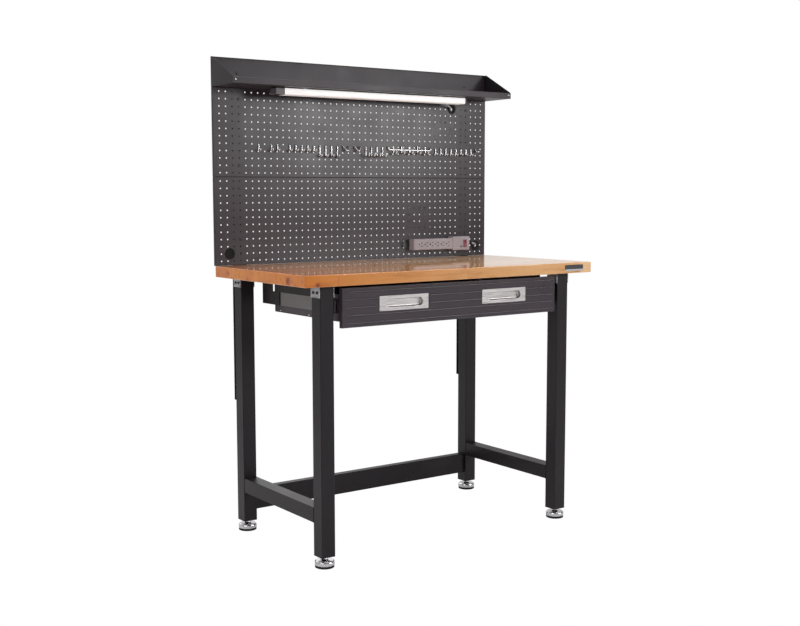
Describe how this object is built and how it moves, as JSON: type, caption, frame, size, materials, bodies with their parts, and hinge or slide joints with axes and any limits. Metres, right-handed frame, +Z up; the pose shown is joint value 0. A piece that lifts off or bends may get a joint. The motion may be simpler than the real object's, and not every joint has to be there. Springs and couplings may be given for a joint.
{
  "type": "workbench",
  "caption": "Steel-framed workbench with a hardwood top, a shallow ribbed drawer on slides, a pegboard back with hooks, a top shelf, a light bar and a power strip.",
  "frame": {"origin": "on the floor, under the centre of the bench's box without its two mains leads", "axes": "+Z up, +X to the user's right along the worktop, -Y towards the user who stands at the drawer"},
  "size_m": [1.2192, 0.6473, 1.672],
  "materials": {
    "worktop": "lacquered edge-glued hardwood strips",
    "plate": "blank dark anodised plate",
    "frame": "black powder coat",
    "black_steel": "black oxide",
    "pegboard": "charcoal powder coat",
    "shelf": "charcoal powder coat",
    "drawer": "black powder coat",
    "chrome": "bright chrome",
    "zinc": "bright zinc",
    "stainless": "brushed stainless",
    "hook_wire": "zinc-plated wire",
    "rubber": "matt black rubber",
    "light_body": "white enamel",
    "diffuser": "opal acrylic",
    "lamp_glass": "opal glass",
    "light_cap": "light grey moulding",
    "black_plastic": "black moulding",
    "strip_plastic": "light grey moulding",
    "red_plastic": "clear red moulding",
    "brass": "plain brass",
    "lead": "light grey flexible sheath"
  },
  "bodies": {
    "root": {"worktop": "worktop", "name_plate": "plate", "leg_front_left": "frame", "leg_front_right": "frame", "leg_rear_left": "frame", "leg_rear_right": "frame", "side_rail_left": "frame", "side_rail_right": "frame", "rear_rail": "frame", "frame_bolts": "black_steel", "top_brackets": "zinc", "under_top_screws": "black_steel", "board_post_left": "frame", "board_post_right": "frame", "pegboard_lower": "pegboard", "pegboard_upper": "pegboard", "board_screws": "black_steel", "cord_grommets": "rubber", "shelf_tray": "shelf", "shelf_ends": "frame", "light_housing": "light_body", "light_diffuser": "diffuser", "light_tube": "lamp_glass", "light_end_caps": "light_cap", "light_clips": "zinc", "strip_base": "strip_plastic", "strip_cover": "strip_plastic", "strip_switch_housing": "strip_plastic", "strip_contacts": "brass", "strip_brackets": "black_plastic", "slide_cabinet_members": "zinc", "drawer_hangers": "frame", "short_hooks": "hook_wire", "long_hooks": "hook_wire", "special_hooks": "hook_wire", "cord_pegs": "black_plastic", "lamp_lead": "lead", "lamp_lead_coil": "lead", "lamp_plug": "lead", "strip_lead": "lead", "strip_lead_coil": "lead", "strip_plug": "lead", "strain_reliefs": "lead"},
    "drawer": {"drawer_front": "drawer", "drawer_box": "drawer", "drawer_pulls": "stainless", "drawer_screws": "zinc", "slide_drawer_members": "zinc"},
    "slide_middle": {"slide_middle_members": "zinc"},
    "strip_rocker": {"strip_rocker": "red_plastic"},
    "strip_reset": {"strip_reset_button": "black_plastic"},
    "light_switch": {"light_switch": "black_plastic"},
    "foot_front_left": {"foot_front_left": "chrome", "foot_pad_front_left": "rubber"},
    "foot_front_right": {"foot_front_right": "chrome", "foot_pad_front_right": "rubber"},
    "foot_rear_left": {"foot_rear_left": "chrome", "foot_pad_rear_left": "rubber"},
    "foot_rear_right": {"foot_rear_right": "chrome", "foot_pad_rear_right": "rubber"}
  },
  "joints": [
    {"name": "drawer_slide", "type": "slide", "parent": "root", "child": "drawer", "axis": [0, -1, 0], "range_m": [0, 0.4]},
    {"name": "slide_middle_travel", "type": "slide", "parent": "root", "child": "slide_middle", "axis": [0, -1, 0], "range_m": [0, 0.2]},
    {"name": "strip_rocker_tip", "type": "hinge", "parent": "root", "child": "strip_rocker", "pos_m": [0.48, 0.25915, 1.0045], "axis": [1, 0, 0], "range_deg": [0, 14]},
    {"name": "strip_reset_press", "type": "slide", "parent": "root", "child": "strip_reset", "axis": [0, 1, 0], "range_m": [0, 0.0016], "stiffness_N_per_m": 400},
    {"name": "light_switch_tip", "type": "hinge", "parent": "root", "child": "light_switch", "pos_m": [-0.404, 0.20165, 1.5465], "axis": [1, 0, 0], "range_deg": [0, 14]},
    {"name": "level_front_left", "type": "slide", "parent": "root", "child": "foot_front_left", "axis": [0, 0, -1], "range_m": [0, 0.025]},
    {"name": "level_front_right", "type": "slide", "parent": "root", "child": "foot_front_right", "axis": [0, 0, -1], "range_m": [0, 0.025]},
    {"name": "level_rear_left", "type": "slide", "parent": "root", "child": "foot_rear_left", "axis": [0, 0, -1], "range_m": [0, 0.025]},
    {"name": "level_rear_right", "type": "slide", "parent": "root", "child": "foot_rear_right", "axis": [0, 0, -1], "range_m": [0, 0.025]}
  ],
  "couplings": [
    {"joint": "slide_middle_travel", "follows": "drawer_slide", "ratio": 0.5}
  ]
}
